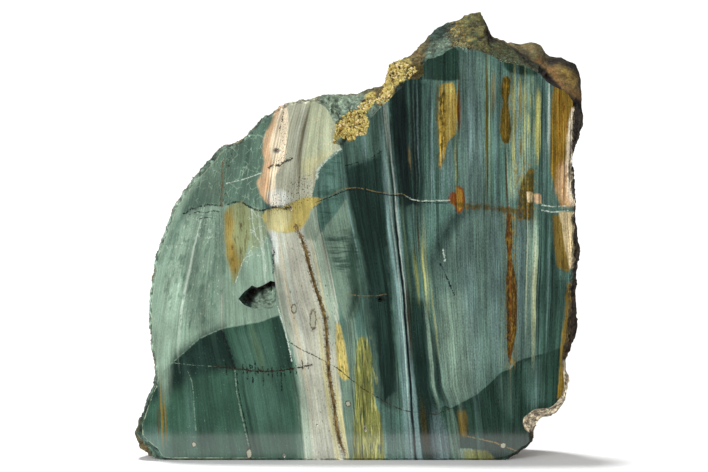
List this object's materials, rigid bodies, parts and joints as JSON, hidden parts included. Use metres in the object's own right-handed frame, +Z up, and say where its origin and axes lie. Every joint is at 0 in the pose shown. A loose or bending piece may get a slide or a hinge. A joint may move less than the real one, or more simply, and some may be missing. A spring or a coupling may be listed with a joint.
{
  "type": "petrified bog wood",
  "caption": "Upright slab of banded green petrified wood with a sawn, polished face and flat sawn foot; its top, sides and back are raw, broken stone.",
  "frame": {"origin": "centre of the bounding box on the plane of the sawn foot", "axes": "+X to the right along the polished face, +Y from the polished face to the raw back, +Z up from the sawn foot"},
  "size_m": [0.225, 0.0602, 0.2242],
  "materials": {
    "silicified_wood": "opaque stone, polished on the face and the foot, raw elsewhere"
  },
  "bodies": {
    "root": {"petrified_bog_wood": "silicified_wood"}
  },
  "joints": []
}
